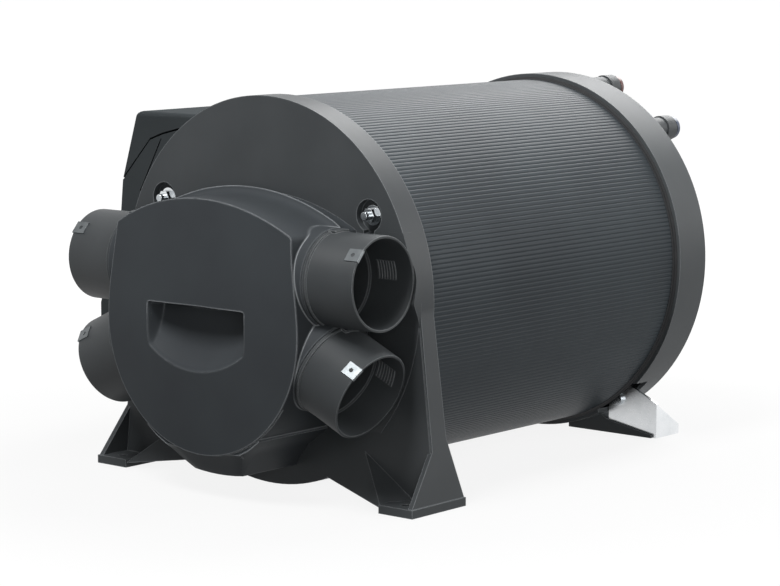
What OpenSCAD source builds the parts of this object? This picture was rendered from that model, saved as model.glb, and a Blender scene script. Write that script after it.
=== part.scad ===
// Caravan water and air heater: fluted drum, front air distributor with duct outlets, side burner box.
// Frame: X right, Y towards the rear, Z up. The origin is on the floor, midway between the front foot holes.

/* [Drum] */
// radius of the jacket over its flutes
jacket_r = 145; // [138:1:152]
// length of the jacket
jacket_len = 314; // [300:1:350]
// thickness of the jacket sheet
jacket_t = 1.6; // [1.4:0.1:2]
// number of lengthways flutes round the jacket
flute_n = 264; // [180:2:300]
// depth of one flute
flute_depth = 0.8; // [0.5:0.1:0.9]
// thickness of the foam sleeve under the jacket
foam_t = 12; // [8:1:16]
// play between two pieces that slide together
fit_gap = 0.3; // [0.3:0.05:0.5]
// height of the rear cap above the floor
ring_clear = 1; // [1:0.5:4]

/* [Front housing] */
// step from the jacket out to the front rim
rim_step = 2.2; // [2:0.1:4]
// length of the front rim along the drum
rim_len = 24; // [22:1:32]
// overlap of the rim on the jacket
lip_len = 4; // [3:0.5:6]
// height of the raised front face over the back wall
face_t = 8; // [7:0.5:9]
// thickness of moulded walls of the front housing
wall_t = 4; // [3:0.5:5]
// sideways distance of a tie stud from the middle
stud_x = 105; // [102:1:108]
// height of a tie stud over the drum axis
stud_z = 63.6; // [62:0.2:66]
// radius of a tie stud
stud_r = 3; // [2.5:0.5:4]
// radius of the pocket round a stud nut
nut_pocket_r = 12; // [11:0.5:13]
// height of the ledge over the outlet pockets
ledge_z = 50; // [48:0.5:51]
// radius of the warm air opening in the back wall
air_hole_r = 66; // [60:1:70]

/* [Front legs] */
// sideways distance of a front foot hole from the middle
foot_x = 147; // [144:1:152]
// radius of a foot screw hole
foot_hole_r = 3.5; // [2.5:0.25:4]
// distance of the front face behind the foot holes
plate_y = 8; // [6:1:12]
// length of a front foot along the drum
foot_len = 62; // [54:1:70]
// width of a front foot
foot_w = 32; // [28:1:36]
// thickness of a front foot
foot_t = 9; // [7:0.5:12]

/* [Air hood] */
// distance of the hood face in front of the plate
hood_depth = 77; // [74:1:90]
// radius of the round lower edge of the face
hood_round_r = 97; // [96:0.5:99]
// drop of the round edge's centre below the drum axis
hood_round_drop = 20; // [18:0.5:22]
// height of the top edge over the drum axis
hood_top = 75; // [73:0.5:77]
// radius of the top edge
hood_arc_r = 194; // [185:1:210]
// inward lean of the hood sides
hood_lean = 4; // [3:0.5:5]
// radius of the domed face
hood_dome_r = 627; // [560:1:800]
// wall of the hood
hood_wall = 3; // [2.5:0.25:3.5]
// depth of the keel under the drum axis
keel_drop = 133; // [128:0.5:136]
// distance of the keel's lower front edge in front of the plate
keel_front = 50; // [44:1:56]

/* [Grip recess] */
// width of the grip recess
grip_w = 97; // [86:1:104]
// drop of its straight top edge below the drum axis
grip_top = 5; // [2:0.5:8]
// height of its straight sides
grip_side = 33; // [28:1:36]
// radius of its round bottom edge
grip_arc_r = 84; // [76:1:100]
// radius of the finger scoop
grip_scoop_r = 42.5; // [40:0.5:46]
// depth of the finger scoop
grip_depth = 17; // [15:0.5:19]

/* [Duct outlets] */
// inside radius of an outlet, for a round duct
duct_r = 32.8; // [30:0.1:33]
// wall of an outlet
outlet_t = 2.1; // [1.8:0.1:2.2]
// length of an outlet from its seat to its mouth
outlet_len = 46; // [40:1:54]
// distance of the outlets' axes in front of the plate
outlet_y = 30.4; // [30:0.1:34]
// sideways distance of an upper outlet's seat
upper_seat_x = 99; // [98:0.5:102]
// height of an upper outlet over the drum axis
upper_z = 19.5; // [19.5:0.1:20.5]
// sideways distance of a lower outlet's seat
lower_seat_x = 102; // [101:0.5:105]
// drop of a lower outlet's seat below the drum axis
lower_drop = 49.3; // [49:0.1:52]
// length of a lower outlet
lower_len = 34; // [32:0.5:40]
// downward tilt of the lower outlets
lower_tilt = 24.7; // [22:0.1:26]
// how far an upper outlet plugs into the hood, twice as far as a lower one
plug_len = 8; // [6:0.5:10]
// width of the base ring round an outlet
base_rim = 1.2; // [1:0.1:1.3]

/* [Tank and burner] */
// radius of the warm air bore through the tank
bore_r = 68; // [64:1:72]
// wall of the tank
tank_t = 1.5; // [1.2:0.1:2.5]
// space in front of the tank
chamber_len = 24; // [20:1:28]
// thickness of the steel bulkhead
bulk_t = 2; // [1.5:0.5:3]
// length of the burner bay behind the tank
bay_len = 42; // [40:1:48]
// inside radius of the heat exchanger
exch_r = 50; // [48:1:52]
// wall of the heat exchanger
exch_t = 4; // [3:0.5:5]
// number of exchanger fins
fin_n = 24; // [16:1:32]
// thickness of a fin
fin_t = 2.4; // [1.6:0.1:3]
// outside radius of the flame tube
flame_r = 32; // [30:0.5:33]
// wall of the flame tube
flame_t = 1.5; // [1:0.1:2]
// outside radius of the burner air pipe
air_pipe_r = 14; // [12:0.5:14.5]
// outside radius of the exhaust pipe
flue_r = 11; // [9:0.5:11.5]
// drop of the exhaust pipe below the drum axis
flue_drop = 42; // [41:0.5:43]

/* [Rear cap and fan] */
// step from the jacket out to the rear ring
ring_step = 5; // [4:0.5:7]
// length of the rear ring
ring_len = 37; // [36:1:44]
// wall of the rear cap
cap_t = 3; // [2.5:0.5:4]
// thickness of the seal between jacket and rear ring
seal_t = 4; // [3:0.5:6]
// radius of the circulation fan
fan_r = 66; // [58:1:68]
// number of circulation fan blades
fan_n = 7; // [5:1:9]
// outside radius of a water socket
water_r = 9.5; // [9:0.25:10.5]
// radius of a water pipe
pipe_r = 6; // [5:0.25:6]
// how far the water sockets stand out of the rear
water_out = 54; // [44:1:60]

/* [Rear feet] */
// sideways distance of a rear foot hole from the middle
rear_hole_x = 95; // [92:1:98]
// outer edge of a rear foot
rear_foot_x = 119; // [115:1:124]
// length of a rear foot along the drum
rear_foot_len = 33; // [30:1:40]
// thickness of the bracket sheet
bracket_t = 3; // [2.5:0.25:3.5]

/* [Side box] */
// distance of the box behind the front face
box_front = 105; // [90:1:125]
// how far the box runs behind the burner pipes
box_tail = 24; // [22:0.5:24.5]
// height of the flat top over the drum axis
box_top = 118; // [114:0.5:124]
// drop of the flat bottom below the drum axis
box_drop = 96; // [94:0.5:104]
// how far the box stands out from the jacket at its widest
box_reach = 143; // [137:1:151]
// wall of the box
box_t = 3; // [2.5:0.25:3.5]
// gap along the lid's seam
seam_gap = 0.5; // [0.4:0.1:1]
// radius of the burner blower's wheel
blower_r = 36; // [32:1:38]

/* [Hidden] */
$fn = 96;
tiny = 0.01;
pipe_clear = 5;
plate_r = jacket_r + rim_step;
ring_r = jacket_r + ring_step;
drum_z = ring_r + ring_clear;
floor_z = -drum_z;
back_y = face_t + wall_t;
jacket_y0 = rim_len - lip_len + fit_gap;
jacket_y1 = jacket_y0 + jacket_len;
jacket_in = jacket_r - jacket_t;
foam_r = jacket_in - fit_gap;
tank_r = foam_r - foam_t - fit_gap;
bulk_y = back_y + chamber_len;
tank_y0 = bulk_y + bulk_t;
foam_y1 = jacket_y1 - 4;
tank_y1 = foam_y1 - bay_len;
flange_t = 5;
cross_y = tank_y1 + 21;
ring_y0 = jacket_y1 + seal_t;
ring_y1 = ring_y0 + ring_len;
water_y1 = ring_y1 + water_out;
outlet_r = duct_r + outlet_t;
base_r = outlet_r + base_rim;
collar_r = base_r + 1.2;
plug_r = outlet_r;
box_y1 = cross_y + box_tail;
box_in_r = jacket_r + 0.4;
box_x = jacket_r + box_reach;
blower_z = -35;
blower_y = cross_y - 17;
blower_len = 34;
scroll_r = blower_r + 9;
flue_x = -sqrt(pow(ring_r + flue_r + pipe_clear, 2) - pow(flue_drop, 2));
flue_end = box_y1 + 42;
blower_x = flue_x - flue_r - scroll_r - 1.4;
valve_x = 50 - box_x;
hot_x = 18;
hot_z = ring_r - cap_t - water_r - 2;
cold_reach = ring_r - cap_t - water_r - 8.9;
cold_x = cold_reach * sin(36.78);
cold_z = cold_reach * cos(36.78);
elbow_y = ring_y1 - 24;
fan_y1 = ring_y1 - 7;
fan_y0 = fan_y1 - 15;
hub_r = 24;
board_x0 = 42 - box_x;
board_x1 = 122 - box_x;
grommet_x = 103 - box_x;
motor_r = 22;
shroud_in = fan_r + 2;
shroud_r = shroud_in + 4;
foot_y0 = -20;
gusset_z = -113.5;
half_space = 600;
rear_foot_y = ring_y0 + 14;
rear_web_x = rear_foot_x - 49;
saddle_lip = 2.4;
hood_back = face_t;

// moves a shape drawn about the drum axis, with y from the front face, into the part's frame
module drum() translate([0, plate_y, drum_z]) children();
// round bar along Y
module ybar(r, y0, y1, x = 0, z = 0) translate([x, y0, z]) rotate([-90, 0, 0]) cylinder(r = r, h = y1 - y0);
// round tube along Y
module ytube(r, hole, y0, y1, x = 0, z = 0) difference() {
  ybar(r, y0, y1, x, z);
  ybar(hole, y0 - 1, y1 + 1, x, z);
}
// round bar along X
module xbar(r, x0, x1, y, z) translate([x0, y, z]) rotate([0, 90, 0]) cylinder(r = r, h = x1 - x0);
// round bar along Z
module zbar(r, z0, z1, x, y) translate([x, y, z0]) cylinder(r = r, h = z1 - z0);
// flat outline in X and Z, drawn out along Y
module ydraw(y0, y1) translate([0, y1, 0]) rotate([90, 0, 0]) linear_extrude(height = y1 - y0) children();
// flat outline in Y and Z, drawn out along X
module xdraw(x0, x1) translate([x0, 0, 0]) rotate([90, 0, 90]) linear_extrude(height = x1 - x0) children();
// box from its two corners
module block(a, b) translate(a) cube(b - a);
// the same shape on both sides
module both() {
  children();
  mirror([1, 0, 0]) children();
}

// outline of the hood, grown outwards by g, without its keel
module hood_outline(g) {
  r = hood_round_r + g;
  tx = r * cos(hood_lean);
  tz = r * sin(hood_lean) - hood_round_drop;
  ux = tx - 120 * sin(hood_lean);
  uz = tz + 120 * cos(hood_lean);
  intersection() {
    translate([0, hood_top - hood_arc_r]) circle(r = hood_arc_r + g);
    union() {
      translate([0, -hood_round_drop]) circle(r = r);
      polygon([[tx, tz], [ux, uz], [-ux, uz], [-tx, tz]]);
    }
  }
}
// outline of the keel under the hood
module keel_outline(g) {
  kx = (hood_round_r + g) * cos(45);
  kz = -hood_round_drop - kx;
  bx = kx - (keel_drop + g + kz);
  polygon([[kx - 0.5, kz + 0.5], [bx, -keel_drop - g], [-bx, -keel_drop - g], [0.5 - kx, kz + 0.5]]);
}
// outline of the grip recess
module grip_outline(g) {
  half = grip_w / 2 + g;
  low = -grip_top - grip_side;
  sag = grip_arc_r - sqrt(grip_arc_r * grip_arc_r - grip_w * grip_w / 4);
  intersection() {
    translate([-half, low - sag - g]) square([2 * half, grip_side + sag + 2 * g]);
    translate([0, low - sag + grip_arc_r]) circle(r = grip_arc_r + g);
  }
}
// axis of an upper or lower outlet: its own Z runs out of the mouth, 0 is at the seat
module upper_axis() translate([upper_seat_x, -outlet_y, upper_z]) rotate([0, 90, 0]) children();
module lower_axis() translate([lower_seat_x, -outlet_y, -lower_drop])
  rotate([0, 90 + lower_tilt, 0]) children();

// front plate, rim and front legs in one moulding
// all that lies behind a plane through a point, set back by g
module behind(point, way, g) {
  n = way / norm(way);
  translate(point - g * n) rotate([0, acos(n[2]), atan2(n[1], n[0])])
    translate([-half_space / 2, -half_space / 2, -half_space]) cube(half_space);
}
// block behind the two sloped faces of the fairing, set back by g
module fairing(g, y1, low) {
  apex = [94, face_t, gusset_z];
  outer = [foot_x - 6, face_t, floor_z + foot_t];
  toe = [foot_x - foot_w / 2 + 1.5, foot_y0 + 1, floor_z + 3.5];
  root = [55, face_t, 13 - drum_z];
  intersection() {
    ydraw(foot_y0, y1)
      polygon([[root[0] - 8, root[2] + 1.2 + low - toe[2]], [toe[0], low], [outer[0] + 4, low],
        [outer[0] + 4, -90], [root[0] - 8, -90]]);
    behind(apex, cross(toe - apex, outer - apex), g);
    behind(apex, cross(root - apex, toe - apex), g);
  }
}
module leg() {
  top_x = plate_r - 1;
  low_x = foot_x + foot_w / 2 - 1;
  in_x = foot_x - foot_w / 2 - 2;
  top_z = floor_z + foot_t;
  lean = atan((low_x - top_x) / (-top_z));
  // front wall of the leg
  ydraw(face_t, back_y)
    polygon([[80, -80], [top_x - 30, -4], [top_x - 1.2, -4], [low_x - 1.2, top_z - 1], [foot_x - 9, top_z - 1],
      [92, gusset_z - 4], [62, -126]]);
  // outer flange
  intersection() {
    translate([top_x - wall_t, 0, 0]) rotate([0, -lean, 0]) xdraw(0, wall_t)
      polygon([[face_t + 0.8, -4.5], [rim_len - 0.5, -4.5], [rim_len + 2, -100],
        [foot_y0 + foot_len - 0.6, top_z - 2], [foot_y0 + 0.6, top_z - 2], [face_t + 0.8, -108]]);
    block([0, foot_y0, floor_z], [300, 300, 0]);
  }
  // fairing from the plate to the inner front corner of the foot, open below
  difference() {
    fairing(0, back_y, floor_z + 3.5);
    fairing(wall_t, back_y + 20, floor_z - 40);
  }
  // foot plate with its screw hole
  difference() {
    block([foot_x - foot_w / 2, foot_y0, floor_z], [foot_x + foot_w / 2, foot_y0 + foot_len, top_z]);
    zbar(foot_hole_r, floor_z - 1, top_z + 1, foot_x, -plate_y);
  }
}
module front_housing() color("#3a3c3e") drum() {
  difference() {
    union() {
      // plate, thinner below the outlets
      difference() {
        ybar(plate_r, 0, back_y);
        block([-plate_r - 5, -1, floor_z], [plate_r + 5, face_t, -55]);
      }
      ytube(plate_r, plate_r - 3, back_y - 1, rim_len - lip_len);
      ytube(plate_r, jacket_r + fit_gap, rim_len - lip_len - tiny, rim_len);
      both() leg();
      // deeper rim between the legs
      intersection() {
        ytube(ring_r, plate_r - 1, face_t, rim_len);
        block([-75, -1, floor_z], [75, rim_len + 1, -110]);
      }
      both() ybar(stud_r + 4, back_y - 1, bulk_y, stud_x, stud_z);
    }
    // the hood's seat
    ydraw(-1, face_t) {
      hood_outline(fit_gap);
      keel_outline(fit_gap);
    }
    both() {
      // pocket behind the outlets
      block([hood_round_r - 8, -1, -100], [plate_r + 1, face_t, ledge_z]);
      // stud hole, nut pocket and the slot under it
      ybar(stud_r + 0.4, -1, bulk_y + 1, stud_x, stud_z);
      ybar(nut_pocket_r, -1, face_t - 2, stud_x, stud_z);
      block([stud_x - 5, -1, ledge_z - 1], [stud_x + 5, face_t - 2, stud_z]);
    }
    ybar(air_hole_r, -1, back_y + 1);
    // room for the hood's collars and for the jacket
    both() {
      upper_axis() translate([0, 0, -30]) cylinder(r = collar_r + fit_gap, h = 90);
      lower_axis() translate([0, 0, -30]) cylinder(r = collar_r + fit_gap, h = 80);
    }
    ybar(jacket_r + fit_gap, rim_len - lip_len, rim_len + 20);
  }
}

// warm air hood with the grip recess and the seats of the four outlets
module hood_solid(g, keel_g) {
  intersection() {
    ydraw(-hood_depth - 1, hood_back) hood_outline(g);
    translate([0, hood_dome_r - hood_depth, -hood_round_drop]) sphere(r = hood_dome_r + g);
  }
  difference() {
    ydraw(-hood_depth + 12, hood_back) keel_outline(keel_g);
    xdraw(-200, 200) polygon([[-hood_depth, -hood_round_drop - hood_round_r + 1],
      [-hood_depth + 12 - keel_g, -hood_round_drop - hood_round_r + 1],
      [-keel_front - keel_g, -keel_drop - 3],
      [-keel_front - keel_g, -keel_drop - 20], [-hood_depth, -keel_drop - 20]]);
  }
}
module grip_scoop(g) {
  sag = grip_arc_r - sqrt(grip_arc_r * grip_arc_r - grip_w * grip_w / 4);
  lead = grip_depth - grip_scoop_r;
  mid_r = grip_arc_r - sqrt(grip_scoop_r * grip_scoop_r - lead * lead);
  intersection() {
    ydraw(-hood_depth - 5, 0) grip_outline(g);
    translate([0, 1.5 - hood_depth, grip_arc_r - grip_top - grip_side - sag]) rotate([-90, 0, 0])
      rotate_extrude() translate([mid_r, lead]) circle(r = grip_scoop_r + g);
  }
}
module air_hood() color("#37393b") drum() {
  difference() {
    union() {
      difference() {
        hood_solid(0, 0);
        difference() {
          union() {
            hood_solid(-hood_wall, -hood_wall);
            ydraw(-1, hood_back + 1) {
              hood_outline(-hood_wall);
              keel_outline(-hood_wall);
            }
          }
          grip_scoop(hood_wall);
        }
      }
      both() upper_axis() translate([0, 0, -18]) cylinder(r = collar_r, h = 18);
      both() lower_axis() translate([0, 0, -26]) cylinder(r = collar_r, h = 26);
    }
    grip_scoop(0);
    both() {
      upper_axis() translate([0, 0, -30]) cylinder(r = plug_r + fit_gap, h = 31);
      lower_axis() translate([0, 0, -40]) cylinder(r = plug_r + fit_gap, h = 41);
      upper_axis() cylinder(r = base_r + 1.7, h = outlet_len + 10);
      lower_axis() cylinder(r = base_r + 4, h = outlet_len);
    }
  }
}

// one duct outlet along its own axis
module outlet(len, plug) {
  difference() {
    union() {
      translate([0, 0, -plug]) cylinder(r = outlet_r, h = plug + len);
      cylinder(r = base_r, h = 3);
      // two snap lugs on the base ring
      for (turn = [0, 180]) rotate([0, 0, turn]) translate([outlet_r - 1, -8, 0]) cube([2.6, 16, 7]);
    }
    // bore for the duct, down to the stop shoulder
    translate([0, 0, 6]) cylinder(r = duct_r, h = len);
    translate([0, 0, -plug - 1]) cylinder(r = duct_r - 2.5, h = plug + len);
    // grooves of the grip pad inside the mouth
    for (i = [0:5]) rotate([0, 0, 89 + 4.5 * i]) translate([duct_r - 1, -0.6, len - 26]) cube([1.8, 1.2, 17]);
    // seat of the clip nut on the rim
    rotate([0, 0, 229]) translate([duct_r - 3, -5.5, len - 12]) cube([3.7, 11, 13]);
    rotate([0, 0, 229]) translate([outlet_r - 0.7, -5.5, len - 12]) cube([3, 11, 13]);
    rotate([0, 0, 229]) translate([duct_r - 1, 0, len - 6]) rotate([0, 90, 0]) cylinder(r = 1.6, h = 9);
  }
}
// sheet clip with a screw hole, folded over the rim of an outlet
module rim_clip(len) rotate([0, 0, 229]) difference() {
  translate([duct_r, -5.2, len - 11.5]) cube([outlet_t + 0.4, 10.4, 12.2]);
  translate([duct_r + 0.65, -6, len - 12]) cube([outlet_t - 1.3, 12, 12.02]);
  translate([duct_r - 5, 0, len - 6]) rotate([0, 90, 0]) cylinder(r = 1.6, h = 14);
}
module duct_outlet_upper_right() color("#3a3c3e") drum() upper_axis() outlet(outlet_len, plug_len);
module duct_outlet_upper_left() color("#3a3c3e") drum() mirror([1, 0, 0]) upper_axis()
  outlet(outlet_len, plug_len);
module duct_outlet_lower_right() color("#3a3c3e") drum() lower_axis() outlet(lower_len, plug_len / 2);
module duct_outlet_lower_left() color("#3a3c3e") drum() mirror([1, 0, 0]) lower_axis()
  outlet(lower_len, plug_len / 2);
module duct_clips() color("#a8abad") drum() both() {
  upper_axis() rim_clip(outlet_len);
  lower_axis() rim_clip(lower_len);
}

// tie studs and their flange nuts
module front_studs() color("#c9ccd0") drum() both() ybar(stud_r, -6, bulk_y, stud_x, stud_z);
module front_nuts() color("#d5d8dc") drum() both() difference() {
  union() {
    ybar(stud_r + 4.6, face_t - 3.6, face_t - 2, stud_x, stud_z);
    translate([stud_x, face_t - 9, stud_z]) rotate([-90, 0, 0]) cylinder(r = stud_r + 2.7, h = 6, $fn = 6);
  }
  ybar(stud_r + 0.02, -20, 20, stud_x, stud_z);
}

// holes for the pipes that cross from the box to the burner
module pipe_holes(x0, x1) {
  xbar(air_pipe_r + 0.6, x0, x1, cross_y, 0);
  xbar(flue_r + 0.6, x0, x1, cross_y, -flue_drop);
  xbar(3.2, x0, x1, cross_y, air_pipe_r + 5);
}
// fluted jacket
module jacket() color("#6b7073") drum() difference() {
  ydraw(jacket_y0, jacket_y1) polygon([for (i = [0:2 * flute_n - 1])
    (jacket_r - (i % 2) * flute_depth) * [cos(180 * i / flute_n), sin(180 * i / flute_n)]]);
  translate([0, jacket_y0 - 1, 0]) rotate([-90, 0, 0]) cylinder(r = jacket_in, h = jacket_len + 2, $fn = 720);
  pipe_holes(-jacket_r - 5, 0);
}
// foam sleeve
module foam_sleeve() color("#2a2b2c") drum() difference() {
  ytube(foam_r, tank_r + fit_gap, tank_y0, foam_y1);
  pipe_holes(-jacket_r - 5, 0);
}
// steel bulkhead that carries the tie studs
module front_bulkhead() color("#b4b8bb") drum() ytube(foam_r, bore_r - 1, bulk_y, tank_y0);
// ring-shaped water tank
module water_tank() color("#c3c7ca") drum() difference() {
  ytube(tank_r, bore_r, tank_y0, tank_y1);
  ytube(tank_r - tank_t, bore_r + tank_t, tank_y0 + tank_t, tank_y1 - tank_t);
  ybar(pipe_r - 1, tank_y1 - 5, tank_y1 + 1, hot_x, tank_r - 14);
  ybar(pipe_r - 1, tank_y1 - 5, tank_y1 + 1, cold_x, cold_z - 14);
}
// temperature sensor on the back of the tank
module tank_sensor() color("#8a6f3c") drum() {
  ybar(6, tank_y1, tank_y1 + 6, 0, -tank_r + 20);
  ybar(3.5, tank_y1 + 6, tank_y1 + 16, 0, -tank_r + 20);
}
// finned aluminium heat exchanger
module heat_exchanger() color("#b9bdc1") drum() {
  ytube(exch_r + exch_t, exch_r, tank_y0 + 12, tank_y1);
  ybar(exch_r + exch_t, tank_y0 + 8, tank_y0 + 12 + tiny);
  for (i = [0:fin_n - 1]) rotate([0, 360 * i / fin_n, 0])
    block([exch_r + exch_t - 0.5, tank_y0 + 12, -fin_t / 2], [bore_r - fit_gap, tank_y1 - 8, fin_t / 2]);
}
// flame tube
module flame_tube() color("#8d8f91") drum()
  ytube(flame_r, flame_r - flame_t, tank_y0 + 40, tank_y1 - fit_gap);
// burner head that closes the exchanger
module burner_head() color("#9a9da0") drum() difference() {
  union() {
    ybar(exch_r + exch_t, tank_y1, tank_y1 + flange_t);
    ybar(flame_r - flame_t - fit_gap, tank_y1 - 14, tank_y1 + tiny);
    ybar(hub_r, tank_y1 + flange_t - tiny, tank_y1 + 37);
  }
  ybar(hub_r - 4, tank_y1 - 15, tank_y1 + 34);
  xbar(air_pipe_r + 0.05, -hub_r - 2, 0, cross_y, 0);
  xbar(2.55, -hub_r - 2, 0, cross_y, air_pipe_r + 5);
  ybar(flue_r - 2, tank_y1 - 1, tank_y1 + flange_t + 1, 0, -flue_drop);
  zbar(3.05, hub_r - 6, hub_r + 2, 0, cross_y);
}
// glow plug
module glow_plug() color("#d0d2d4") drum() {
  zbar(3, 2, hub_r, 0, cross_y);
  zbar(5.5, hub_r, hub_r + 9, 0, cross_y);
}
// pipe from the blower to the burner
module burner_air_pipe() color("#a6aaad") drum() difference() {
  xbar(air_pipe_r, blower_x + 27.5, -hub_r + 5, cross_y, 0);
  xbar(air_pipe_r - 1.5, blower_x, 0, cross_y, 0);
  ybar(blower_r + 1.5, blower_y, blower_y + blower_len, blower_x, blower_z);
}
// exhaust pipe from the burner flange through the box
module exhaust_pipe() color("#a0a3a6") drum() difference() {
  union() {
    ybar(flue_r, tank_y1 + flange_t, cross_y, 0, -flue_drop);
    xbar(flue_r, flue_x, 0, cross_y, -flue_drop);
    ybar(flue_r, cross_y, flue_end, flue_x, -flue_drop);
    // collar against the box
    ybar(flue_r + 2.5, box_y1, box_y1 + 4, flue_x, -flue_drop);
    translate([0, cross_y, -flue_drop]) sphere(r = flue_r);
    translate([flue_x, cross_y, -flue_drop]) sphere(r = flue_r);
  }
  ybar(flue_r - 1.5, tank_y1, cross_y, 0, -flue_drop);
  xbar(flue_r - 1.5, flue_x, 0, cross_y, -flue_drop);
  ybar(flue_r - 1.5, cross_y, flue_end + 1, flue_x, -flue_drop);
}
// fuel pipe and its shut-off valve
module fuel_pipe() color("#b07a45") drum() difference() {
  xbar(2.5, valve_x + 10, -hub_r + 12, cross_y, air_pipe_r + 5);
  xbar(1.5, valve_x + 9, 0, cross_y, air_pipe_r + 5);
}
module fuel_valve() color("#8f9396") drum() difference() {
  union() {
    block([valve_x - 10, cross_y - 12, air_pipe_r - 3], [valve_x + 10, box_y1 - box_t, air_pipe_r + 15]);
    ybar(4, box_y1 - box_t - 1, box_y1 + 36, valve_x, air_pipe_r + 6);
    zbar(9, air_pipe_r + 14.9, air_pipe_r + 40, valve_x, cross_y);
    // nut against the box
    translate([valve_x, box_y1, air_pipe_r + 6]) rotate([-90, 0, 0]) cylinder(r = 8, h = 4, $fn = 6);
  }
  ybar(2.5, box_y1 - 20, box_y1 + 40, valve_x, air_pipe_r + 6);
}

// rubber seal between jacket and rear ring
module rear_seal() color("#151516") drum() ytube(jacket_r + 0.5, jacket_r - 6, jacket_y1, ring_y0);
// rear cap with its ring, fan shroud and saddles
module rear_cap() color("#3a3c3e") drum() difference() {
  union() {
    ytube(ring_r, ring_r - cap_t, ring_y0, ring_y1);
    ytube(ring_r, jacket_r - 14, ring_y0, ring_y0 + cap_t);
    ytube(ring_r, shroud_in, ring_y1 - cap_t, ring_y1);
    ytube(shroud_r, shroud_in, fan_y0 - 10, ring_y1);
    both() ydraw(rear_foot_y - saddle_lip, ring_y1) polygon([[30, -sqrt(pow(ring_r - 1.5, 2) - 900)],
      [rear_web_x - 8, -sqrt(pow(ring_r - 1.5, 2) - pow(rear_web_x - 8, 2))], [rear_web_x, floor_z + 11],
      [rear_foot_x - 4, floor_z + 3], [rear_foot_x - 4, floor_z], [30, floor_z]]);
    // bosses for the foot screws
    intersection() {
      both() ybar(7, rear_foot_y + bracket_t, ring_y1, rear_web_x + 10, -122);
      ybar(ring_r, ring_y0, ring_y1);
    }
    ytube(water_r + 3, water_r + 0.2, ring_y1 - 10, ring_y1, hot_x, hot_z);
    ytube(water_r + 3, water_r + 0.2, ring_y1 - 10, ring_y1, cold_x, cold_z);
  }
  both() {
    // notch in the ring for the foot bracket
    block([rear_web_x - 1, ring_y0 - 1, floor_z + 11], [ring_r + 5, rear_foot_y + bracket_t, -104]);
    block([rear_web_x - 0.4, rear_foot_y - 0.4, floor_z - 1], [ring_r + 5, ring_y1 + 20, floor_z + 16]);
    ybar(2.55, rear_foot_y, ring_y1 - cap_t - 2, rear_web_x + 10, -122);
  }
  ybar(water_r + 0.2, ring_y1 - 20, ring_y1 + 1, hot_x, hot_z);
  ybar(water_r + 0.2, ring_y1 - 20, ring_y1 + 1, cold_x, cold_z);
}
// grille over the air intake
module intake_grille() color("#2f3133") drum() {
  ytube(shroud_r + 6, shroud_in, ring_y1, ring_y1 + 4);
  for (r = [20:12:shroud_in - 6]) ytube(r + 1.5, r - 1.5, ring_y1, ring_y1 + 3);
  for (i = [0:5]) rotate([0, 60 * i, 0]) block([18, ring_y1, -1.5], [shroud_in + 2, ring_y1 + 3.5, 1.5]);
}
// three-armed bracket of the fan motor
module fan_bracket() color("#9da1a4") drum() {
  ytube(shroud_r, shroud_in + 0.5, fan_y0 - 13, fan_y0 - 10);
  ytube(motor_r + 2.5, motor_r, fan_y0 - 13, fan_y0 - 4);
  for (i = [0:2]) rotate([0, 120 * i + 30, 0])
    block([motor_r + 1, fan_y0 - 13, -6], [shroud_in + 2, fan_y0 - 10, 6]);
}
module fan_motor() color("#2b2d30") drum() difference() {
  union() {
    ybar(motor_r, fan_y0 - 21, fan_y0 - 2);
    ybar(8, fan_y0 - 2.1, fan_y0 - 0.8);
  }
  ybar(3 + fit_gap, fan_y0 - 16, fan_y0 + 1);
}
module circulation_fan() color("#4a4d50") drum() difference() {
  union() {
    ybar(hub_r, fan_y0, fan_y1);
    for (i = [0:fan_n - 1]) rotate([0, 360 * i / fan_n, 0]) intersection() {
      translate([0, (fan_y0 + fan_y1) / 2, 0]) rotate([38, 0, 0])
        block([hub_r - 2, -10, -1], [fan_r + 5, 10, 1]);
      ybar(fan_r, fan_y0, fan_y1);
    }
  }
  ybar(3.02, fan_y0 - 1, fan_y1 - 3);
}
module fan_shaft() color("#c4c8cc") drum() ybar(3, fan_y0 - 15, fan_y1 - 3);

// push-fit water sockets: body, release ring and the pipe to the tank
module water_socket(x, z) difference() {
  union() {
    ybar(water_r, ring_y1 - 12, water_y1 - 6, x, z);
    ybar(water_r + 2.5, ring_y1, ring_y1 + 5, x, z);
    ybar(water_r + 1.2, water_y1 - 18, water_y1 - 6, x, z);
  }
  ybar(pipe_r + 0.1, water_y1 - 40, water_y1, x, z);
  ybar(pipe_r + 1.6 + fit_gap, water_y1 - 16, water_y1, x, z);
  ybar(pipe_r - 1.5, ring_y1 - 20, water_y1, x, z);
}
module release_ring(x, z) difference() {
  union() {
    ybar(pipe_r + 1.6, water_y1 - 13, water_y1 - 1, x, z);
    ybar(water_r, water_y1 - 3.5, water_y1, x, z);
  }
  ybar(pipe_r + 0.1, water_y1 - 20, water_y1 + 1, x, z);
}
module water_pipe(x, z, tank_z) difference() {
  union() {
    ybar(pipe_r, tank_y1, elbow_y, x, tank_z);
    zbar(pipe_r, tank_z, z, x, elbow_y);
    ybar(pipe_r, elbow_y, ring_y1 - 12, x, z);
    translate([x, elbow_y, tank_z]) sphere(r = pipe_r);
    translate([x, elbow_y, z]) sphere(r = pipe_r);
  }
  ybar(pipe_r - 1, tank_y1 - 1, elbow_y, x, tank_z);
  zbar(pipe_r - 1, tank_z, z, x, elbow_y);
  ybar(pipe_r - 1, elbow_y, ring_y1, x, z);
}
module hot_water_socket() color("#35373a") drum() water_socket(hot_x, hot_z);
module cold_water_socket() color("#35373a") drum() water_socket(cold_x, cold_z);
module hot_release_ring() color("#b8392f") drum() release_ring(hot_x, hot_z);
module cold_release_ring() color("#2f5f9e") drum() release_ring(cold_x, cold_z);
module hot_water_pipe() color("#b9bcc0") drum() water_pipe(hot_x, hot_z, tank_r - 14);
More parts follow.
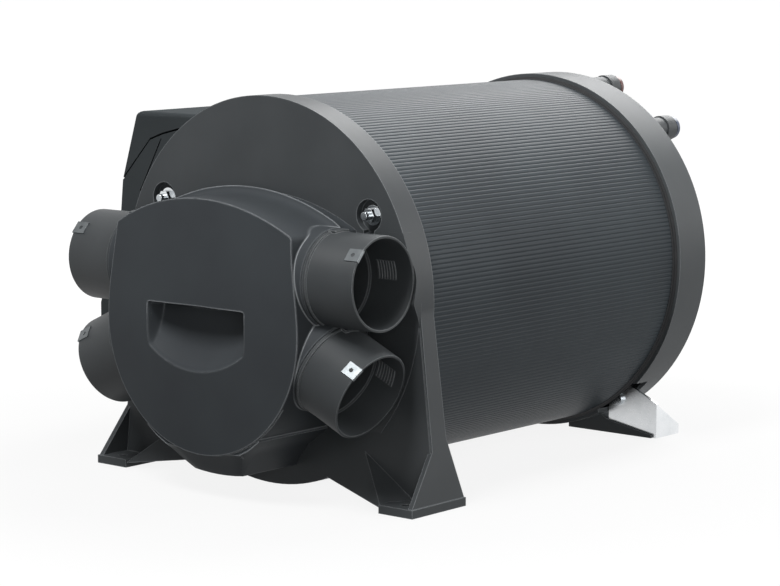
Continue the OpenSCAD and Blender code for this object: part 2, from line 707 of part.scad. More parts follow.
module cold_water_pipe() color("#b9bcc0") drum() water_pipe(cold_x, cold_z, cold_z - 14);

// folded sheet foot at the rear
module rear_foot() {
  y0 = rear_foot_y;
  y1 = rear_foot_y + rear_foot_len;
  x0 = rear_web_x;
  x1 = rear_foot_x;
  difference() {
    union() {
      ydraw(y0, y0 + bracket_t) polygon([[x0, floor_z + 11], [x1, floor_z], [x1, floor_z + 29],
        [x0 + 18, -107], [x0 + 6, -111], [x0, -116]]);
      xdraw(x1 - bracket_t, x1)
        polygon([[y0, floor_z], [y1, floor_z], [y1, floor_z + 8], [y0, floor_z + 29]]);
      block([x0, y0, floor_z], [x1, y1, floor_z + bracket_t]);
    }
    zbar(foot_hole_r, floor_z - 1, floor_z + 20, rear_hole_x, y0 + 18);
    ybar(2.6, y0 - 1, y0 + 10, x0 + 10, -122);
  }
}
module rear_foot_right() color("#d9dcde") drum() rear_foot();
module rear_foot_left() color("#d9dcde") drum() mirror([1, 0, 0]) rear_foot();
module rear_foot_screws() color("#caced1") drum() both() {
  ybar(5, rear_foot_y - 3, rear_foot_y, rear_web_x + 10, -122);
  ybar(2.5, rear_foot_y - 0.1, ring_y1 - cap_t - 3, rear_web_x + 10, -122);
}

// outline of the side box, seen from the front
module box_outline() polygon([[85 - jacket_r, box_top], [47 - box_x, box_top], [29 - box_x, box_top - 56],
  [26 - box_x, box_top - 86], [-box_x, box_top - 164], [-box_x, 24 - box_drop], [26 - box_x, -box_drop],
  [85 - jacket_r, -box_drop]]);
// outline of the lid, dropped by g at its seam
module lid_outline(g) polygon([[132 - box_x + g, box_top + 1], [27 - box_x, box_top + 1],
  [20 - box_x, box_top - 56 - g], [29 - box_x + g, box_top - 56 - g],
  [62 - box_x, box_top - 21 - g], [77 - box_x, box_top - 15.8 - g],
  [132 - box_x + g, box_top - 2 - g]]);
// space inside the box
module box_space() polygon([[47 - jacket_r, box_top - box_t], [135 - box_x, box_top - box_t],
  [135 - box_x, box_top + 2], [48.2 - box_x, box_top + 2], [32.2 - box_x, box_top - 56],
  [29.2 - box_x, box_top - 86], [box_t - box_x, box_top - 164.5], [box_t - box_x, 25.3 - box_drop],
  [27.2 - box_x, box_t - box_drop], [47 - jacket_r, box_t - box_drop]]);
module side_box() color("#3b3d40") drum() {
  difference() {
    ydraw(box_front, box_y1) difference() {
      box_outline();
      lid_outline(seam_gap);
    }
    ybar(box_in_r, box_front - 1, box_y1 + 1);
    difference() {
      ydraw(box_front + box_t, box_y1 - box_t) box_space();
      ybar(box_in_r + box_t, box_front, box_y1);
    }
    // groove on the front of the box
    translate([75 - box_x, box_front - 1, box_top - 20]) rotate([0, 29.2, 0]) translate([-0.6, 0, -52])
      cube([1.2, 2, 52]);
    pipe_holes(-jacket_r - 25, 45 - jacket_r);
    ybar(flue_r + 0.4, box_y1 - 10, box_y1 + 1, flue_x, -flue_drop);
    ybar(15.5, box_y1 - 10, box_y1 + 1, blower_x, blower_z);
    ybar(4.2, box_y1 - 10, box_y1 + 1, valve_x, air_pipe_r + 6);
    ybar(9, box_y1 - 10, box_y1 + 1, grommet_x, 60);
  }
  // posts of the control board
  for (x = [board_x0 + 6, board_x1 - 6], z = [-30, 38])
    ytube(4, 1.3, box_front + box_t - 0.1, box_front + box_t + 9, x, z);
  // ledge that carries the burner blower
  block([blower_x - 20, blower_y, box_t - box_drop - 0.1],
    [blower_x + 20, blower_y + blower_len, blower_z - scroll_r]);
}
// lift-off service lid
module service_lid() color("#3e4043") drum() difference() {
  ydraw(box_front, box_y1) intersection() {
    box_outline();
    lid_outline(0);
  }
  ydraw(box_front + box_t, box_y1 - box_t)
    polygon([[138 - box_x, box_top - box_t], [49 - box_x, box_top - box_t],
    [32.2 - box_x, box_top - 57], [34 - box_x, box_top - 70], [138 - box_x, box_top - 10]]);
}

// burner blower
module blower_housing() color("#8c9093") drum() difference() {
  ybar(scroll_r, blower_y, blower_y + blower_len, blower_x, blower_z);
  ybar(scroll_r - 2.5, blower_y + 2.5, blower_y + blower_len - 2.5, blower_x, blower_z);
  ybar(13, blower_y + blower_len - 5, blower_y + blower_len + 1, blower_x, blower_z);
  ybar(6, blower_y - 1, blower_y + 4, blower_x, blower_z);
  xbar(air_pipe_r + 0.1, blower_x + 20, blower_x + 60, cross_y, 0);
}
module blower_motor() color("#2b2d30") drum() difference() {
  union() {
    ybar(20, blower_y - 32, blower_y - 2, blower_x, blower_z);
    ybar(26, blower_y - 2.1, blower_y, blower_x, blower_z);
  }
  ybar(2.5 + fit_gap, blower_y - 12, blower_y + 1, blower_x, blower_z);
}
module blower_wheel() color("#55585b") drum() difference() {
  union() {
    ybar(blower_r, blower_y + 5, blower_y + 7.5, blower_x, blower_z);
    ybar(8, blower_y + 5, blower_y + 22, blower_x, blower_z);
    for (i = [0:15]) translate([blower_x, 0, blower_z]) rotate([0, 22.5 * i, 0])
      block([blower_r - 11, blower_y + 7.4, -0.8], [blower_r - 1, blower_y + 26, 0.8]);
  }
  ybar(2.52, blower_y, blower_y + 20, blower_x, blower_z);
}
module blower_shaft() color("#c4c8cc") drum() ybar(2.5, blower_y - 11, blower_y + 20, blower_x, blower_z);
module combustion_air_pipe() color("#46494c") drum() difference() {
  union() {
    ybar(12.5, blower_y + blower_len, flue_end, blower_x, blower_z);
    ybar(15, blower_y + blower_len, blower_y + blower_len + 4, blower_x, blower_z);
    ybar(15.2, box_y1 - box_t, box_y1 + 3, blower_x, blower_z);
  }
  ybar(10.5, blower_y, flue_end + 1, blower_x, blower_z);
}

// control board on its four posts
module control_board() color("#2f5a3c") drum() difference() {
  block([board_x0, box_front + box_t + 9, -36], [board_x1, box_front + box_t + 10.6, 44]);
  for (x = [board_x0 + 6, board_x1 - 6], z = [-30, 38]) ybar(1.6, box_front, box_front + 40, x, z);
}
module board_parts() color("#26282a") drum() {
  y = box_front + box_t + 10.6;
  block([board_x0 + 10, y, 20], [board_x0 + 46, y + 12, 34]);
  block([board_x0 + 10, y, -6], [board_x0 + 34, y + 16, 12]);
  block([board_x0 + 50, y, 4], [board_x0 + 66, y + 9, 34]);
  for (i = [0:2]) ybar(6, y, y + 18, board_x0 + 20 + 16 * i, -20);
}
module board_screws() color("#caced1") drum() for (x = [board_x0 + 6, board_x1 - 6], z = [-30, 38]) {
  ybar(3, box_front + box_t + 10.6, box_front + box_t + 12.6, x, z);
  ybar(1.28, box_front + box_t + 2, box_front + box_t + 10.7, x, z);
}
module cable_grommet() color("#1b1c1d") drum() difference() {
  union() {
    ybar(12, box_y1, box_y1 + 5, grommet_x, 60);
    ybar(8.8, box_y1 - box_t, box_y1 + 1, grommet_x, 60);
    ybar(11, box_y1 - box_t - 2.5, box_y1 - box_t, grommet_x, 60);
  }
  ybar(5, box_y1 - 10, box_y1 + 10, grommet_x, 60);
}

front_housing();
air_hood();
duct_outlet_upper_right();
duct_outlet_upper_left();
duct_outlet_lower_right();
duct_outlet_lower_left();
duct_clips();
front_studs();
front_nuts();
jacket();
foam_sleeve();
front_bulkhead();
water_tank();
tank_sensor();
heat_exchanger();
flame_tube();
burner_head();
glow_plug();
burner_air_pipe();
exhaust_pipe();
fuel_pipe();
fuel_valve();
rear_seal();
rear_cap();
intake_grille();
fan_bracket();
fan_motor();
circulation_fan();
fan_shaft();
hot_water_socket();
cold_water_socket();
hot_release_ring();
cold_release_ring();
hot_water_pipe();
cold_water_pipe();
rear_foot_right();
rear_foot_left();
rear_foot_screws();
side_box();
service_lid();
blower_housing();
blower_motor();
blower_wheel();
blower_shaft();
combustion_air_pipe();
control_board();
board_parts();
board_screws();
cable_grommet();
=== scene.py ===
import math
import bmesh
import bpy
from mathutils import Matrix, Vector


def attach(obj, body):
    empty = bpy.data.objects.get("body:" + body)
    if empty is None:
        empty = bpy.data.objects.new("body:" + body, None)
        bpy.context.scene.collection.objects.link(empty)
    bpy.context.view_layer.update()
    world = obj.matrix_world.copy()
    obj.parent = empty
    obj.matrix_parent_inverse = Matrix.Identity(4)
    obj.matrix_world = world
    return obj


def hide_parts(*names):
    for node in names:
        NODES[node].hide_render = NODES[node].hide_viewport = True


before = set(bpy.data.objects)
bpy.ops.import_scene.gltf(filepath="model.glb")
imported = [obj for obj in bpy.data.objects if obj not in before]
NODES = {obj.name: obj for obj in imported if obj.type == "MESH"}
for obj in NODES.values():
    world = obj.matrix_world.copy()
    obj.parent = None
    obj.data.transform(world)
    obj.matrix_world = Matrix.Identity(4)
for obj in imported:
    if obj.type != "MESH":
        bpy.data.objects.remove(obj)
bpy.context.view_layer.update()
MM = 0.001

# Sizes are in mm. X and Z run from the drum's axis and Y from the face of the front plate. The axis lies
# 151 mm over the floor, and the plate's face 8 mm behind the front foot holes.
DRUM_Z = 151.0
PLATE_Y = 8.0

# Jacket and the front of the rear ring
JACKET_R = 145.0
JACKET_WALL = 1.6
JACKET_Y = (20.4, 334.2)
FLUTES = 264
FLUTE_DEPTH = 0.4
FLUTE_STEPS = 8
RING_Y = 338.3

# Outline and section of the air hood
HOOD_ROUND_R = 97.0
HOOD_ROUND_Z = -20.0
HOOD_TOP = 75.0
HOOD_ARC_R = 194.0
HOOD_LEAN = math.radians(4)
HOOD_DEPTH = 77.0
HOOD_DOME_R = 627.0
HOOD_WALL = 3.0
HOOD_BACK = 7.9
HOOD_EDGE_R = 0.5
HOOD_POINTS = 480
SIDE_STEPS = 14
SIDE_END = 3.4
EDGE_STEPS = 6
FACE_SHARES = (0.06, 0.16, 0.3, 0.46, 0.62, 0.78, 0.9, 0.95)

# The hood's sides draw in towards the top of its face.
FACE_TAPER = 0.036
TAPER_LOW = -10.0
TAPER_RUN = 60.0

# Lip over the hood's top, as (depth, rise) from its back to its front, and the height from which it rises
TOP_LIP = ((-0.3, 0.2), (-8, 0.4), (-14, 2.9), (-19.0, 5.4), (-19.5, 5.6), (-19.75, 5.5), (-19.9, 5.2),
           (-20.4, 3.9), (-21.4, 2.4), (-23.4, 1.1), (-26, 0.4), (-30, 0.0))
LIP_LOW = 34.0
LIP_RUN = 22.0

# Groove behind the hood's lower lip, as (distance behind the face, sink), and where it starts
LOW_GROOVE = ((2.4, 0.0), (2.1, 1.2), (1.2, 1.2), (0.9, 0.0))
GROOVE_TOP = -70.0
GROOVE_RUN = 12.0

# Inner corner of the hood's wall, as (sink, distance behind) past the wall's thickness
INNER_CORNER = ((0.8, 1.0), (0.0, 3.0))

# Grip recess and its scoop
GRIP_MIDDLE = (0.0, -27.0)
GRIP_HALF = 48.5
GRIP_TOP = -5.0
GRIP_SIDE_LOW = -38.0
GRIP_ARC_R = 84.0
GRIP_EASE_START = -1.2
GRIP_EASE_RUN = 4.4
GRIP_INSIDES = [0.4 * k for k in range(-4, 9)] + [3.8]
SCOOP_R = 42.5
SCOOP_DEPTH = 17.0
SCOOP_SET = 1.5
WELL_SHARES = [1 - 0.08 * k for k in range(1, 12)] + [0.05]
WELL_INSIDE = 9.0

# Keel, with its rows as (depth, rise of the foot), its flank from the hood down and its middle facet
KEEL_DROP = 133.0
KEEL_BULGE = 1.6
KEEL_ROWS = ((HOOD_BACK, 0.0), (-20, 0.0), (-49.5, 0.0), (-50.6, 0.2), (-51.5, 0.8), (-52.3, 1.7),
             (-58, 8.2), (-64.6, 16.7), (-68.2, 20.0))
KEEL_FLANK = ((52.0, -95.0), (56.6, -97.2), (57.4, -100.4), (56.6, -101.2), (47.0, -108.2))
KEEL_FACET = (36.7, -115.6)
KEEL_FACET_SPREAD = 1.6
KEEL_SLOPE = 17.4
KEEL_FOOT_HALF = 24.2
KEEL_FOOT_SPREAD = 12.5
KEEL_FOOT_PARTS = (-0.7, -0.35, 0, 0.35, 0.7)

# Duct outlets, with their seats as (X, Z)
OUTLET_Y = -30.4
UPPER_SEAT = (99.0, 19.5)
LOWER_SEAT = (102.0, -49.3)
LOWER_TILT = math.radians(24.7)
OUTLET_R = 34.9
OUTLET_BASE_R = 36.1
DUCT_R = 32.8
STOP_R = 30.3
UPPER_LEN = 46.0
LOWER_LEN = 34.0
UPPER_PLUG = 16.0
LOWER_PLUG = 13.0
COLLAR_R = 37.3
COLLAR_BORE = 35.2
UPPER_COLLAR = 18.0
LOWER_COLLAR = 26.0
HOLE_R = 34.0
HOLE_Z = (-40.0, 8.0)

# The collars end this far short of the seats, the lower ones more, where the hood's side is nearer.
UPPER_BASE = 0.02
LOWER_BASE = 8.0

# Snap lugs, with sections as (height, half width, outer radius), and the ribbed pad in the mouth
LUG_R = 36.0
LUG_BORE = 34.4
LUG_SECTIONS = ((0.0, 8.0, 37.2), (6.2, 7.6, 37.0), (7.0, 7.0, 36.2))
RIB_PITCH = 2.6
RIB_SECTION = ((0.0, 0.0), (0.3, 0.75), (1.5, 0.75), (1.8, 0.15))
PAD_START = 87.0
PAD_SPAN = 26.0
PAD_STEPS = 12
UPPER_PAD = (13.0, 29.0)
LOWER_PAD = (8.0, 24.0)

# Cheeks of the front housing beside the outlets, and the pocket that they stand in
PLATE_R = 147.25
POCKET_DEPTH = 8.0
POCKET_TOP = 50.0
CHEEK_X = 98.5
CHEEK_LOW = -100.0
CHEEK_TURN = -16.0
CHEEK_RISE = 22.0
CHEEK_SET = 0.6
CHEEK_BACK = POCKET_DEPTH + 0.1
CHEEK_FADE_LOW = 8.0
CHEEK_FADE_SIDE = 6.0
INNER_TOP = -50.0
INNER_RUN = 10.0
CHEEK_ROW = 1.5
CHEEK_COLUMNS = 40
CHEEK_LAP = 3.0
CHEEK_SUNK = 0.15
SUNK_RUN = 2.0
LOWER_CHEEK_TOP = 2.0
UPPER_CHEEK_LOW = -16.5
CHEEK_EASE = 0.6
LEDGE_X = 124.0
LEDGE_LOW = 46.0
LEDGE_RUN = 3.0
LEDGE_COVER = 0.06
RIM_LAP = 2.5
RIM_LAP_DEPTH = 1.5
TROUGH_GAP = 0.3
TROUGH_NARROWS = 2.1
TROUGH_RUN = 4.0

# Soles of the front feet, as in the solids and as shown
SOLE_TOP = 9.0
SOLE_SHOWN = 6.5
SOLE_NEAR = 0.02

# Service lid
LID_TOP = 269.0
LID_FRONT = 113.0
LID_OUTER = -240.0
LID_RISE = 2.0
LID_SEAM = 0.7
LID_ROUND = 4.5
LID_NEAR = 0.5

# Edges eased to a small radius on pieces that keep their solids' shape
EASED_RADIUS = {
    "duct_clips": 0.15, "front_nuts": 0.4, "front_studs": 0.4, "rear_cap": 1.8, "rear_foot_right": 0.7,
    "rear_foot_left": 0.7, "side_box": 0.8,
}
MOULDED_EASE = 0.8


def at_drum(x, y, z):
    """A point given in mm from the drum's axis and the plate's face, as a place in the frame."""
    return Vector((x * MM, (y + PLATE_Y) * MM, (z + DRUM_Z) * MM))


def linear(hexcode):
    """An sRGB hex colour as linear RGBA."""
    parts = [int(hexcode[i:i + 2], 16) / 255 for i in (1, 3, 5)]
    return [c / 12.92 if c <= 0.04045 else ((c + 0.055) / 1.055) ** 2.4 for c in parts] + [1.0]


# Materials

# Lean of an edge's rounded normal from its flat one, as cosines, where the painted highlight starts and is
# full
HIGHLIGHT_START = 0.998
HIGHLIGHT_FULL = 0.86


def add_node(tree, kind, inputs=None, **settings):
    """Adds a node, sets its fields, and sets or links its inputs."""
    node = tree.nodes.new(kind)
    for field, value in settings.items():
        setattr(node, field, value)
    for socket, value in (inputs or {}).items():
        if isinstance(value, bpy.types.NodeSocket):
            tree.links.new(value, node.inputs[socket])
        else:
            node.inputs[socket].default_value = value
    return node


def finish(name, colour, patches, rough, grain, metal=0.0, sheen=0.5, edge=None, stretch=(1, 1, 1),
           cells=None):
    """A material with cloudy colour, a fine surface grain and, where edge is given, a painted edge
    highlight.

    patches is (second colour, size in mm), rough (low, high), grain (size in mm, height in mm) and edge
    (colour, width in mm, strength) of the painted highlight. stretch is how many times finer the grain is
    along X, Y, Z, and cells a bead size in mm.
    """
    made = bpy.data.materials.new(name)
    made.use_nodes = True
    tree = made.node_tree
    tree.nodes.clear()
    place = add_node(tree, "ShaderNodeTexCoord").outputs["Object"]
    second_colour, patch_size = patches
    cloud = add_node(tree, "ShaderNodeTexNoise",
                     {"Vector": place, "Scale": 1 / (patch_size * MM), "Detail": 5.0}).outputs["Fac"]
    tone = add_node(tree, "ShaderNodeValToRGB", {"Fac": cloud})
    for stop, position, hexcode in zip(tone.color_ramp.elements, (0.32, 0.68), (colour, second_colour)):
        stop.position = position
        stop.color = linear(hexcode)
    shade = tone.outputs["Color"]
    # Painted highlight: convex edges are painted paler, where a rounded edge would catch the light.
    if edge:
        highlight_colour, highlight_width, highlight_strength = edge
        soft = add_node(tree, "ShaderNodeBevel", {"Radius": highlight_width * MM}, samples=6).outputs["Normal"]
        flat = add_node(tree, "ShaderNodeNewGeometry").outputs["Normal"]
        bend = add_node(tree, "ShaderNodeVectorMath", {0: soft, 1: flat},
                        operation="DOT_PRODUCT").outputs["Value"]
        painted_highlight = add_node(tree, "ShaderNodeMapRange", {
            "Value": bend, "From Min": HIGHLIGHT_START, "From Max": HIGHLIGHT_FULL, "To Min": 0.0,
            "To Max": highlight_strength}).outputs["Result"]
        shade = add_node(tree, "ShaderNodeMix", {"Factor": painted_highlight, "A": shade, "B": linear(highlight_colour)},
                         data_type="RGBA").outputs["Result"]
    turned = add_node(tree, "ShaderNodeMapping", {"Vector": place, "Scale": stretch}).outputs["Vector"]
    grain_size, grain_height = grain
    if cells:
        fine = add_node(tree, "ShaderNodeTexVoronoi",
                        {"Vector": turned, "Scale": 1 / (cells * MM)}).outputs["Distance"]
    else:
        fine = add_node(tree, "ShaderNodeTexNoise",
                        {"Vector": turned, "Scale": 1 / (grain_size * MM), "Detail": 3.0}).outputs["Fac"]
    bump = add_node(tree, "ShaderNodeBump",
                    {"Height": fine, "Strength": 0.6, "Distance": grain_height * MM}).outputs["Normal"]
    gloss = add_node(tree, "ShaderNodeMapRange",
                     {"Value": fine, "To Min": rough[0], "To Max": rough[1]}).outputs["Result"]
    skin = add_node(tree, "ShaderNodeBsdfPrincipled", {
        "Base Color": shade, "Metallic": metal, "Specular IOR Level": sheen, "Roughness": gloss,
        "Normal": bump}).outputs["BSDF"]
    add_node(tree, "ShaderNodeOutputMaterial", {"Surface": skin})
    return made


# Moulded ABS with a spark-eroded grain: dull, a little mottled, with a painted highlight along its moulded
# edges.
SPARK_GRAIN = {"rough": (0.36, 0.48), "grain": (0.5, 0.03), "sheen": 0.13}
# Colour, width and strength of the painted edge highlight
ABS_EDGE_HIGHLIGHT = ("#9a9ea1", 1.2, 0.5)
housing_abs = finish("moulded_grained_ABS", "#3f4244", ("#46494b", 60), edge=ABS_EDGE_HIGHLIGHT, **SPARK_GRAIN)
# The cheeks beside the outlets are the same moulding, without the painted edge highlight.
cheek_abs = finish("moulded_grained_ABS_inner", "#3f4244", ("#46494b", 60), **SPARK_GRAIN)
# The rear cap is the same plastic, painted paler to stand in for the light its ring catches on the right and
# top, with the same painted edge highlight.
cap_abs_painted_lighter = finish("moulded_ABS_painted_lighter", "#4a4d4f", ("#505355", 60), edge=ABS_EDGE_HIGHLIGHT, **SPARK_GRAIN)
# The hood is the same plastic from a smoother tool: darker, with a softer sheen and a painted highlight
# along its edges.
hood_abs = finish("moulded_smooth_ABS", "#393c3f", ("#3f4346", 80), (0.48, 0.6), (0.7, 0.02), sheen=0.06,
                  edge=("#a2a6a9", 2.0, 0.8))
# The outlets are glass-filled polyamide: dull and a little mottled, with a painted highlight along their
# edges.
outlet_polyamide = finish("moulded_polyamide", "#36393b", ("#3d4042", 40), (0.46, 0.6), (0.6, 0.02),
                          sheen=0.2, edge=("#a0a4a6", 1.0, 0.6))
# The jacket is a fluted, coated sheet: cool grey and satin.
jacket_sheet = finish("coated_fluted_sheet", "#363b3f", ("#3c4246", 90), (0.3, 0.42), (0.8, 0.02),
                      sheen=0.06)
# The side box is ABS with a coarser grain: matt and even.
box_abs = finish("moulded_box_ABS", "#3b3f41", ("#414547", 70), (0.78, 0.9), (0.7, 0.04), sheen=0.03)
# Zinc-plated spring sheet: dull grey and finely brushed.
zinc_sheet = finish("zinc_plated_sheet", "#6e7274", ("#606466", 6), (0.34, 0.5), (0.4, 0.01), metal=1.0,
                    stretch=(1, 6, 1))
# Bright zinc plating on steel studs and screws: pale, with a soft shine.
zinc_steel = finish("bright_zinc_steel", "#c6cacd", ("#b1b6ba", 4), (0.18, 0.32), (0.3, 0.01), metal=1.0)
# Chrome-plated nuts: bright and nearly smooth.
chrome = finish("chrome_plated_steel", "#dfe2e4", ("#cfd3d6", 5), (0.08, 0.16), (0.4, 0.004), metal=1.0)
# Bare aluminium sheet: pale and even, with faint rolling lines.
rolled_aluminium = finish("rolled_aluminium_sheet", "#e6e8ea", ("#dde0e2", 12), (0.24, 0.34), (0.5, 0.01),
                          metal=1.0, stretch=(0.12, 1, 1))
# Closed-cell rubber: black and dead matt.
black_rubber = finish("black_EPDM_rubber", "#17181a", ("#1f2022", 8), (0.7, 0.85), (0.4, 0.03))
# Bead foam: dark, with the joined beads showing.
bead_foam = finish("moulded_bead_foam", "#2b2c2e", ("#343639", 10), (0.8, 0.95), (4, 0.25), cells=4)
# Rolled steel sheet: mid grey and satin, with faint rolling lines.
steel_sheet = finish("rolled_steel_sheet", "#a9aeb1", ("#999fa3", 20), (0.3, 0.45), (0.5, 0.01), metal=1.0,
                     stretch=(1, 1, 0.15))
# Brushed stainless steel of the tank: pale, with fine lines along the drum.
stainless = finish("brushed_stainless_steel", "#c3c7c9", ("#b3b8bb", 30), (0.24, 0.4), (0.4, 0.01),
                   metal=1.0, stretch=(1, 0.1, 1))
# Turned brass of the sensor: warm yellow and bright.
turned_brass = finish("turned_brass", "#b9953f", ("#a88534", 5), (0.2, 0.34), (0.3, 0.01), metal=1.0)
# Die-cast aluminium: grey and sandy.
cast_aluminium = finish("die_cast_aluminium", "#b3b7ba", ("#a2a7aa", 10), (0.42, 0.6), (0.5, 0.04),
                        metal=1.0)
# Stainless steel tinted by heat: straw and blue in patches.
tinted_steel = finish("heat_tinted_stainless", "#8f8a82", ("#7d8189", 14), (0.3, 0.46), (0.4, 0.01),
                      metal=1.0)
# Drawn copper tube: warm red and bright.
drawn_copper = finish("drawn_copper", "#b87348", ("#a5653f", 6), (0.22, 0.36), (0.3, 0.01), metal=1.0)
# Powder coat on the motors: black with a light orange-peel skin.
powder_coat = finish("black_powder_coat", "#27292c", ("#2d2f32", 12), (0.36, 0.5), (1.2, 0.03))
# Moulded polypropylene of the fans: mid grey and dull, with a painted highlight along the blades' edges.
fan_plastic = finish("moulded_polypropylene", "#47494c", ("#4f5255", 20), (0.4, 0.55), (0.6, 0.02),
                     edge=("#7c8083", 0.8, 0.4))
# Acetal sockets in mid grey, with a slight waxy sheen, and their release rings in dulled water colours.
socket_acetal = finish("grey_acetal", "#4a4d4f", ("#434648", 6), (0.4, 0.52), (0.5, 0.01), sheen=0.2)
red_acetal = finish("dull_red_acetal", "#5e3733", ("#55302d", 6), (0.28, 0.4), (0.5, 0.01))
blue_acetal = finish("dull_blue_acetal", "#36435a", ("#303c51", 6), (0.28, 0.4), (0.5, 0.01))
# Epoxy board under a green solder mask: deep green with a gloss.
solder_mask = finish("green_solder_mask", "#23603b", ("#1b4e30", 3), (0.2, 0.34), (0.8, 0.02))
# Moulded connector and relay cases: near black and satin.
relay_plastic = finish("moulded_relay_case", "#26282a", ("#2f3133", 5), (0.4, 0.52), (0.4, 0.01))

NODE_FINISH = {
    "front_housing": housing_abs, "air_hood": hood_abs, "duct_outlet_upper_right": outlet_polyamide,
    "duct_outlet_upper_left": outlet_polyamide, "duct_outlet_lower_right": outlet_polyamide,
    "duct_outlet_lower_left": outlet_polyamide, "duct_clips": zinc_sheet, "front_studs": zinc_steel,
    "front_nuts": chrome, "jacket": jacket_sheet, "foam_sleeve": bead_foam, "front_bulkhead": steel_sheet,
    "water_tank": stainless, "tank_sensor": turned_brass, "heat_exchanger": cast_aluminium,
    "flame_tube": tinted_steel, "burner_head": cast_aluminium, "glow_plug": zinc_steel,
    "burner_air_pipe": steel_sheet, "exhaust_pipe": tinted_steel, "fuel_pipe": drawn_copper,
    "fuel_valve": cast_aluminium, "rear_seal": black_rubber, "rear_cap": cap_abs_painted_lighter,
    "intake_grille": cap_abs_painted_lighter, "fan_bracket": steel_sheet, "fan_motor": powder_coat,
    "circulation_fan": fan_plastic, "fan_shaft": zinc_steel, "hot_water_socket": socket_acetal,
    "cold_water_socket": socket_acetal, "hot_release_ring": red_acetal, "cold_release_ring": blue_acetal,
    "hot_water_pipe": stainless, "cold_water_pipe": stainless, "rear_foot_right": rolled_aluminium,
    "rear_foot_left": rolled_aluminium, "rear_foot_screws": zinc_steel, "side_box": box_abs,
    "service_lid": box_abs, "blower_housing": cast_aluminium, "blower_motor": powder_coat,
    "blower_wheel": fan_plastic, "blower_shaft": zinc_steel, "combustion_air_pipe": outlet_polyamide,
    "control_board": solder_mask, "board_parts": relay_plastic, "board_screws": zinc_steel,
    "cable_grommet": black_rubber,
}
BODY_OF = {name: "heater" for name in NODES}
BODY_OF.update(circulation_fan="fan_rotor", fan_shaft="fan_rotor", blower_wheel="blower_rotor",
               blower_shaft="blower_rotor", service_lid="lid", hot_release_ring="hot_ring",
               cold_release_ring="cold_ring")
for node_name, node_finish in NODE_FINISH.items():
    NODES[node_name].data.materials.clear()
    NODES[node_name].data.materials.append(node_finish)


# Pieces

WELD_GAP = 1e-6
FLAT_ANGLE = math.radians(0.5)
EASED_ANGLE = math.radians(32)


def place_piece(name, mesh, node, crease=30, skin=None):
    """Puts a mesh in its CAD node's place, on the node's body, with its finish or another skin."""
    piece = bpy.data.objects.new(name, mesh)
    bpy.context.scene.collection.objects.link(piece)
    mesh.materials.clear()
    mesh.materials.append(skin or NODE_FINISH[node])
    for polygon in mesh.polygons:
        polygon.use_smooth = True
    if crease:
        mesh.set_sharp_from_angle(angle=math.radians(crease))
    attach(piece, BODY_OF[node])
    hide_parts(node)
    return piece


def take_mesh(shape, name):
    """Turns a finished working shape into a mesh."""
    mesh = bpy.data.meshes.new(name)
    shape.to_mesh(mesh)
    shape.free()
    return mesh


def ease_edges(piece, radius):
    """Rounds a piece's edges to a small radius in mm, with even shading across its flats."""
    bevel = piece.modifiers.new("eased_edges", "BEVEL")
    bevel.width = radius * MM
    bevel.segments = 3
    bevel.limit_method = "ANGLE"
    bevel.angle_limit = EASED_ANGLE
    normals = piece.modifiers.new("even_shading", "WEIGHTED_NORMAL")
    normals.keep_sharp = True


def eased(node, radius, trim=None):
    """The CAD node's own shape, trimmed where a trim is given, with its edges eased to a radius in mm."""
    shape = bmesh.new()
    shape.from_mesh(NODES[node].data)
    bmesh.ops.remove_doubles(shape, verts=shape.verts, dist=WELD_GAP)
    bmesh.ops.dissolve_limit(shape, angle_limit=FLAT_ANGLE, verts=shape.verts, edges=shape.edges)
    if trim:
        trim(shape)
    mesh = take_mesh(shape, node + "_eased")
    ease_edges(place_piece(node + "_eased", mesh, node, crease=0), radius)


def join_rows(shape, rows, closed=True):
    """Faces between each row of corners and the next. With closed, a row's last corner joins its first."""
    for here, there in zip(rows, rows[1:]):
        for i in range(len(here) if closed else len(here) - 1):
            j = (i + 1) % len(here)
            shape.faces.new((here[i], here[j], there[j], there[i]))


def loft(rings, close_rows=False, cap_ends=False):
    """A mesh through rings of points. close_rows joins the last ring to the first, cap_ends fills both."""
    shape = bmesh.new()
    rows = [[shape.verts.new(point) for point in ring] for ring in rings]
    join_rows(shape, rows + rows[:1] if close_rows else rows)
    if cap_ends:
        shape.faces.new(rows[0])
        shape.faces.new(rows[-1])
    bmesh.ops.recalc_face_normals(shape, faces=shape.faces)
    return take_mesh(shape, "lofted")


def about_axis(axis, r, turn, height):
    """A place about an axis, from a radius in mm, a turn from its local X and a height in mm."""
    return axis @ (Vector((r * math.cos(turn), r * math.sin(turn), height)) * MM)


def add_lathe(shape, axis, profile, steps=96):
    """Turns a closed profile of (radius, height) in mm about a local Z axis."""
    rows = []
    for i in range(steps):
        turn = 2 * math.pi * i / steps
        rows.append([shape.verts.new(about_axis(axis, r, turn, height)) for r, height in profile])
    join_rows(shape, rows + rows[:1])


def ease_step(t):
    """A soft step from 0 to 1 while t goes from 0 to 1."""
    t = min(max(t, 0.0), 1.0)
    return t * t * (3 - 2 * t)


# Jacket: rounded flutes with narrow grooves between them.

def jacket_ring(y, inner=False):
    """A ring around the jacket at a depth, fluted outside and plain inside."""
    ring = []
    for flute in range(FLUTES):
        for step in range(FLUTE_STEPS):
            across = step / FLUTE_STEPS
            turn = 2 * math.pi * (flute + across) / FLUTES
            r = JACKET_R - JACKET_WALL if inner else JACKET_R - FLUTE_DEPTH * (2 * across - 1) ** 4
            ring.append(at_drum(r * math.cos(turn), y, r * math.sin(turn)))
    return ring


jacket_front, jacket_rear = JACKET_Y
jacket_rings = [jacket_ring(jacket_front), jacket_ring(jacket_rear), jacket_ring(jacket_rear, True),
                jacket_ring(jacket_front, True)]
place_piece("jacket_fluted", loft(jacket_rings, close_rows=True), "jacket", crease=50)


# Air hood: a domed, round-edged shell with the scooped grip, its keel and the collars of the outlets.
# A place on its face is a vector of X and Z, so its y is the height. A row holds places with their depths.

SEARCH_REACH = 200.0
SEARCH_HALVINGS = 40


